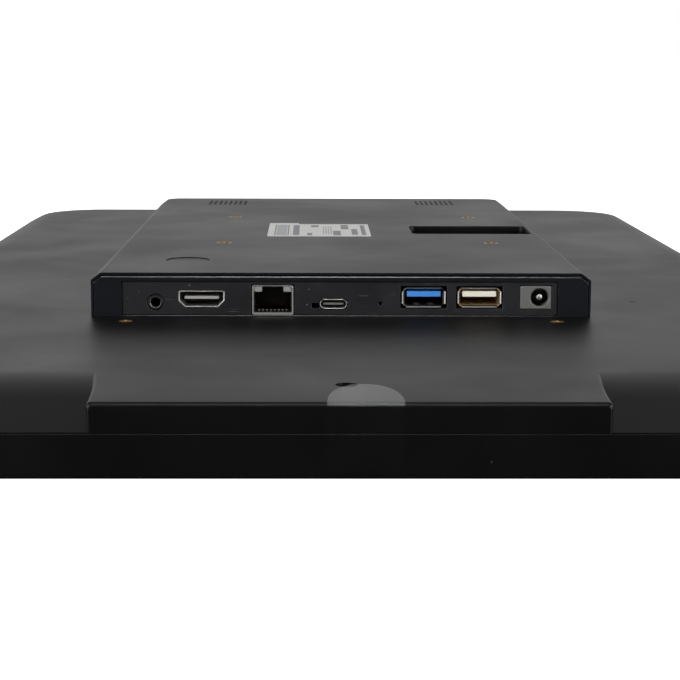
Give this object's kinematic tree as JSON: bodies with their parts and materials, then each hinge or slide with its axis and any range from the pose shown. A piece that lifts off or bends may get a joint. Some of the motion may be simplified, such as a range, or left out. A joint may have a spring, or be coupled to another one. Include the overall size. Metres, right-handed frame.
{
  "type": "touchscreen kiosk panel",
  "caption": "Flat touchscreen panel computer for a kiosk, glass side down, with an electronics box on its back that holds a row of ports, a power button and wall-mount inserts.",
  "frame": {"origin": "middle of the footprint, on the surface that the glass side lies on", "axes": "+Z out of the panel's back, +Y along the length away from the ports, +X to the right when looking at the ports"},
  "size_m": [0.326, 0.5582, 0.0349],
  "materials": {
    "clear_film": "clear, glossy",
    "black_glass": "polished, printed black behind",
    "black_foam": "matt foam",
    "sensor_film": "clear",
    "lcd_glass": "polished",
    "white_film": "matt white",
    "acrylic": "clear, polished",
    "led_board": "white solder mask",
    "bare_steel": "bright, satin",
    "black_abs": "moulded black, fine grain, semi-gloss",
    "black_steel": "black zinc",
    "plate_plastic": "black film over moulded plastic, satin",
    "label_film": "matt paper-like film",
    "dark_plastic": "satin",
    "brass": "machined, bright",
    "circuit_board": "green solder mask",
    "heat_sink_alloy": "extruded, satin",
    "ribbon_film": "polyimide film",
    "nickel_shell": "nickel plated, bright",
    "gold_contact": "gold plated",
    "clear_light_pipe": "clear, unlit",
    "blue_plastic": "satin",
    "cream_plastic": "satin",
    "grey_plastic": "satin grey"
  },
  "bodies": {
    "panel": {"screen_film": "clear_film", "film_tab": "clear_film", "cover_glass": "black_glass", "glass_tape": "black_foam", "touch_sensor": "sensor_film", "lcd_cell": "lcd_glass", "diffuser_films": "white_film", "light_guide": "acrylic", "reflector_sheet": "white_film", "led_strip": "led_board", "backlight_tray": "bare_steel", "tray_screws": "bare_steel", "front_frame": "black_abs", "rear_shell": "black_abs", "shell_screw": "black_steel", "box_cover": "black_abs", "cover_screws": "bare_steel", "port_bezel": "black_abs", "port_plate": "plate_plastic", "pocket_liner": "black_abs", "rating_label": "label_film", "power_switch": "dark_plastic", "reset_switch": "bare_steel", "vesa_inserts": "brass", "lower_inserts": "brass", "mainboard": "circuit_board", "board_chips": "dark_plastic", "heat_sink": "heat_sink_alloy", "board_screws": "bare_steel", "timing_board": "circuit_board", "display_ribbon": "ribbon_film", "touch_board": "circuit_board", "touch_ribbon": "ribbon_film", "speakers": "dark_plastic", "wifi_antennas": "ribbon_film", "microphone": "circuit_board", "audio_jack": "dark_plastic", "hdmi_shell": "nickel_shell", "hdmi_insert": "dark_plastic", "ethernet_shell": "nickel_shell", "ethernet_body": "dark_plastic", "ethernet_contacts": "gold_contact", "ethernet_light_pipes": "clear_light_pipe", "usb_c_shell": "nickel_shell", "usb_c_tongue": "dark_plastic", "usb3_shell": "nickel_shell", "usb3_tongue": "blue_plastic", "usb2_shell": "nickel_shell", "usb2_tongue": "cream_plastic", "dc_jack": "grey_plastic", "dc_pin": "nickel_shell"},
    "power_key": {"power_button": "black_abs", "switch_plunger": "dark_plastic"},
    "reset_pin": {"reset_plunger": "dark_plastic"}
  },
  "joints": [
    {"name": "power_press", "type": "slide", "parent": "panel", "child": "power_key", "axis": [0, 0, -1], "range_m": [0, 0.0005], "stiffness_N_per_m": 3000},
    {"name": "reset_press", "type": "slide", "parent": "panel", "child": "reset_pin", "axis": [0, 1, 0], "range_m": [0, 0.00025], "stiffness_N_per_m": 2000}
  ]
}
